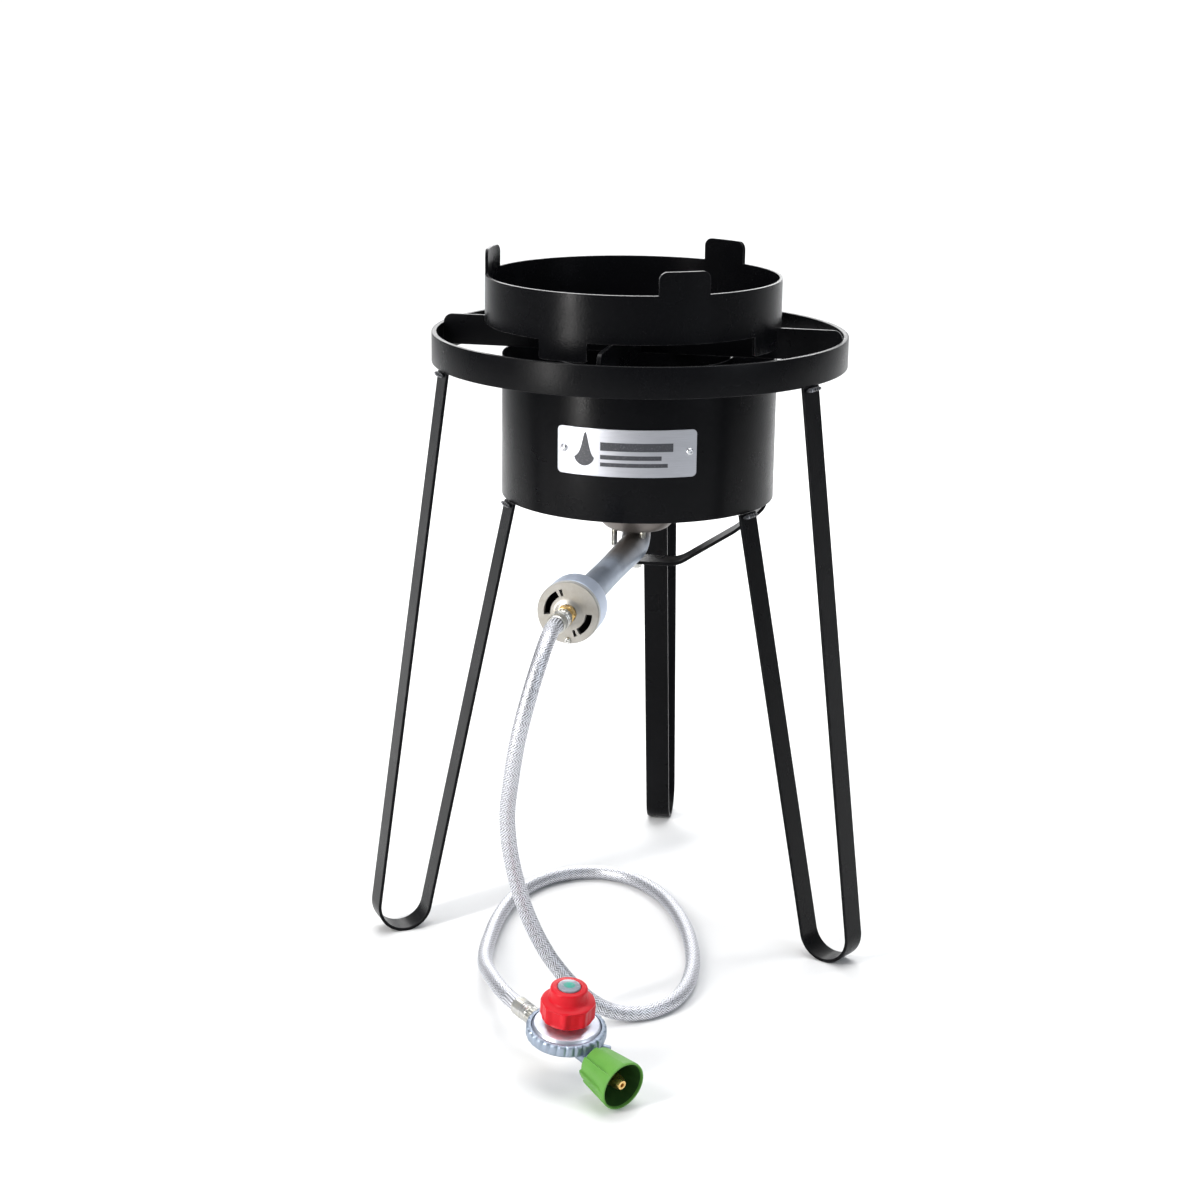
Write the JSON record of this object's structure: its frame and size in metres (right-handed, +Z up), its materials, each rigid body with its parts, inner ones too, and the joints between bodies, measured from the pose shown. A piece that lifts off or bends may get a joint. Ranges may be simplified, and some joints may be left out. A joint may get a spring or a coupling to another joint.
{
  "type": "propane burner stand",
  "caption": "Three-legged hairpin stand with a round top ring, wind shroud, loose wok ring, cast burner, gas hose and adjustable regulator.",
  "frame": {"origin": "on the ground under the burner axis, at the middle of the stand", "axes": "+Z up, the rear leg on +Y, the gas inlet and nameplate towards -Y, metres"},
  "size_m": [0.4892, 0.7558, 0.6676],
  "materials": {
    "outer_ring": "satin black high-heat powder coat",
    "wind_shroud": "satin black high-heat powder coat",
    "inner_collar": "satin black high-heat powder coat",
    "cross_bar_side": "satin black high-heat powder coat",
    "cross_bar_front": "satin black high-heat powder coat",
    "leg_right": "satin black high-heat powder coat",
    "leg_left": "satin black high-heat powder coat",
    "leg_rear": "satin black high-heat powder coat",
    "burner_strap": "satin black high-heat powder coat",
    "wok_ring": "satin black high-heat powder coat",
    "weld_ring_right": "bare weld bead",
    "weld_ring_left": "bare weld bead",
    "weld_ring_rear": "bare weld bead",
    "weld_shroud_right": "bare weld bead",
    "weld_shroud_left": "bare weld bead",
    "weld_shroud_rear": "bare weld bead",
    "nameplate": "brushed, clear coated",
    "nameplate_screw_left": "zinc plated",
    "nameplate_screw_right": "zinc plated",
    "shutter_screw": "zinc plated",
    "strap_bolt": "zinc plated",
    "bowl_flange_bolt_left": "zinc plated",
    "bowl_flange_bolt_right": "zinc plated",
    "burner_head_bolt": "zinc plated",
    "burner_casting": "aluminium paint over cast iron",
    "burner_head": "aluminium paint over cast iron",
    "mixer_face": "aluminium paint over cast iron",
    "air_shutter": "plated sheet",
    "orifice_fitting": "machined",
    "inlet_stem": "machined",
    "outlet_neck": "machined",
    "hose_ferrule_burner": "crimped, plated",
    "hose_ferrule_regulator": "crimped, plated",
    "gas_hose": "stainless wire braid over hose",
    "regulator_body": "die cast, grey",
    "regulator_crimp_ring": "die cast, grey",
    "inlet_neck": "die cast, grey",
    "regulator_vent": "die cast, grey",
    "knob_indicator": "die cast, grey",
    "regulator_cover": "satin",
    "regulator_diaphragm": "rubber",
    "regulator_spring": "spring steel",
    "regulator_spring_seat": "spring steel",
    "regulator_knob": "moulded red",
    "cylinder_nut": "moulded light green"
  },
  "bodies": {
    "stand": {"outer_ring": "outer_ring", "wind_shroud": "wind_shroud", "inner_collar": "inner_collar", "cross_bar_side": "cross_bar_side", "cross_bar_front": "cross_bar_front", "leg_right": "leg_right", "leg_left": "leg_left", "leg_rear": "leg_rear", "burner_strap": "burner_strap", "weld_ring_right": "weld_ring_right", "weld_ring_left": "weld_ring_left", "weld_ring_rear": "weld_ring_rear", "weld_shroud_right": "weld_shroud_right", "weld_shroud_left": "weld_shroud_left", "weld_shroud_rear": "weld_shroud_rear", "nameplate": "nameplate", "nameplate_screw_left": "nameplate_screw_left", "nameplate_screw_right": "nameplate_screw_right", "strap_bolt": "strap_bolt", "bowl_flange_bolt_left": "bowl_flange_bolt_left", "bowl_flange_bolt_right": "bowl_flange_bolt_right", "burner_head_bolt": "burner_head_bolt", "burner_casting": "burner_casting", "burner_head": "burner_head", "mixer_face": "mixer_face", "orifice_fitting": "orifice_fitting", "inlet_stem": "inlet_stem", "outlet_neck": "outlet_neck", "hose_ferrule_burner": "hose_ferrule_burner", "hose_ferrule_regulator": "hose_ferrule_regulator", "gas_hose": "gas_hose", "regulator_body": "regulator_body", "regulator_crimp_ring": "regulator_crimp_ring", "inlet_neck": "inlet_neck", "regulator_vent": "regulator_vent", "regulator_cover": "regulator_cover", "regulator_diaphragm": "regulator_diaphragm", "regulator_spring": "regulator_spring", "regulator_spring_seat": "regulator_spring_seat"},
    "wok_ring": {"wok_ring": "wok_ring"},
    "air_shutter": {"air_shutter": "air_shutter", "shutter_screw": "shutter_screw"},
    "pressure_knob": {"regulator_knob": "regulator_knob", "knob_indicator": "knob_indicator"},
    "cylinder_nut": {"cylinder_nut": "cylinder_nut"}
  },
  "joints": [
    {"name": "wok_ring_lift", "type": "slide", "parent": "stand", "child": "wok_ring", "axis": [0, 0, 1], "range_m": [0, 0.12]},
    {"name": "air_shutter_turn", "type": "hinge", "parent": "stand", "child": "air_shutter", "pos_m": [-0.02494, -0.26382, 0.377], "axis": [-0.0941, -0.9956, 0], "range_deg": [0, 90]},
    {"name": "pressure_knob_turn", "type": "hinge", "parent": "stand", "child": "pressure_knob", "pos_m": [0.003, -0.422, 0.046], "axis": [0.0735, -0.1274, 0.9891], "range_deg": [0, 720]},
    {"name": "cylinder_nut_turn", "type": "hinge", "parent": "stand", "child": "cylinder_nut", "pos_m": [0.00212, -0.42047, 0.03413], "axis": [0.7366, -0.6617, -0.1399], "continuous": true}
  ]
}
